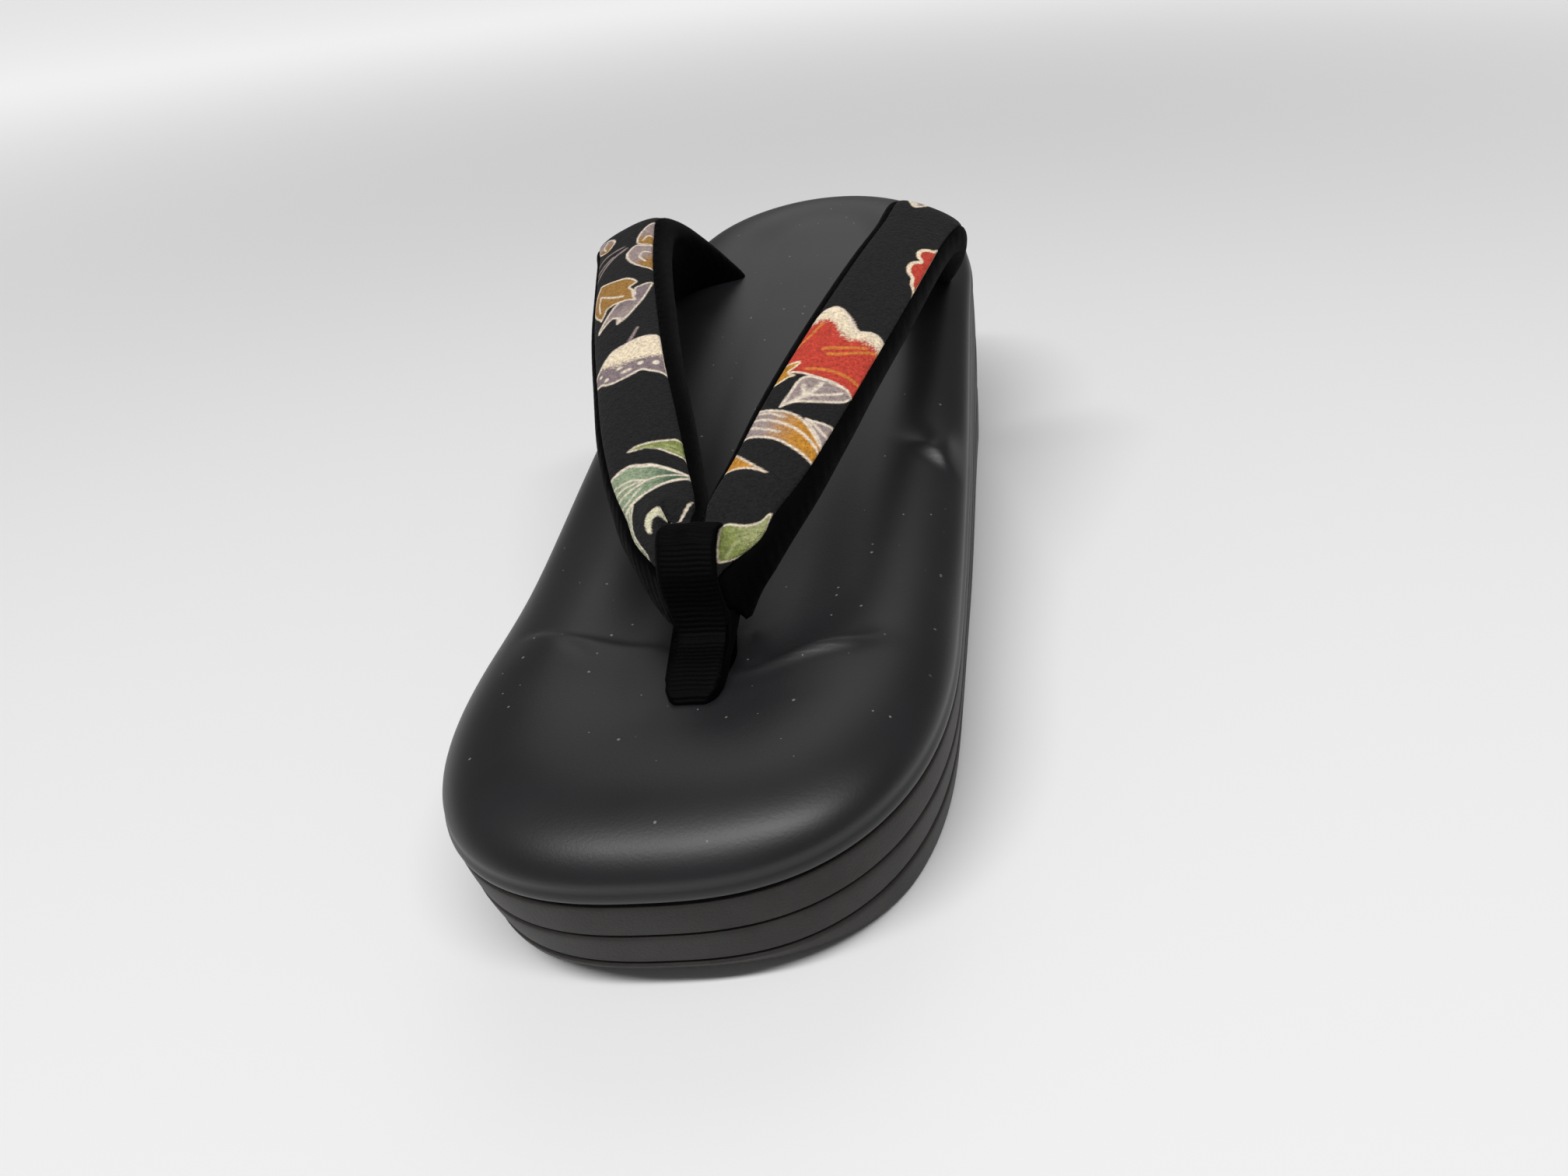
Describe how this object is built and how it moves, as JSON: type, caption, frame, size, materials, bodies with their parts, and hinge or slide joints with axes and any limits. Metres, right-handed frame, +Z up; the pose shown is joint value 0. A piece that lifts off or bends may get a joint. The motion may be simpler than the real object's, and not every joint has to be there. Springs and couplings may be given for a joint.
{
  "type": "zori sandal",
  "caption": "Platform zori sandal: a dished foam footbed on a wedge of stacked foam layers, with a padded V strap in floral cloth held at the front by a ribbed toe loop.",
  "frame": {"origin": "on the floor, under the middle of the bounding box", "axes": "+Z up, the toe points to -Y and the heel to +Y, +X is the wearer's left"},
  "size_m": [0.0834, 0.24, 0.0719],
  "materials": {
    "smooth_foam": "matte moulded foam with a soft sheen",
    "sueded_foam": "fine sueded foam",
    "velvet": "short black pile over padding",
    "crepe": "black crepe with a floral print",
    "grosgrain": "ribbed tape"
  },
  "bodies": {
    "root": {"outsole": "sueded_foam", "midsole_lower": "sueded_foam", "midsole_upper": "sueded_foam", "footbed": "smooth_foam", "strap_backing": "velvet", "strap_face_right": "crepe", "strap_face_left": "crepe", "toe_loop": "grosgrain"}
  },
  "joints": []
}
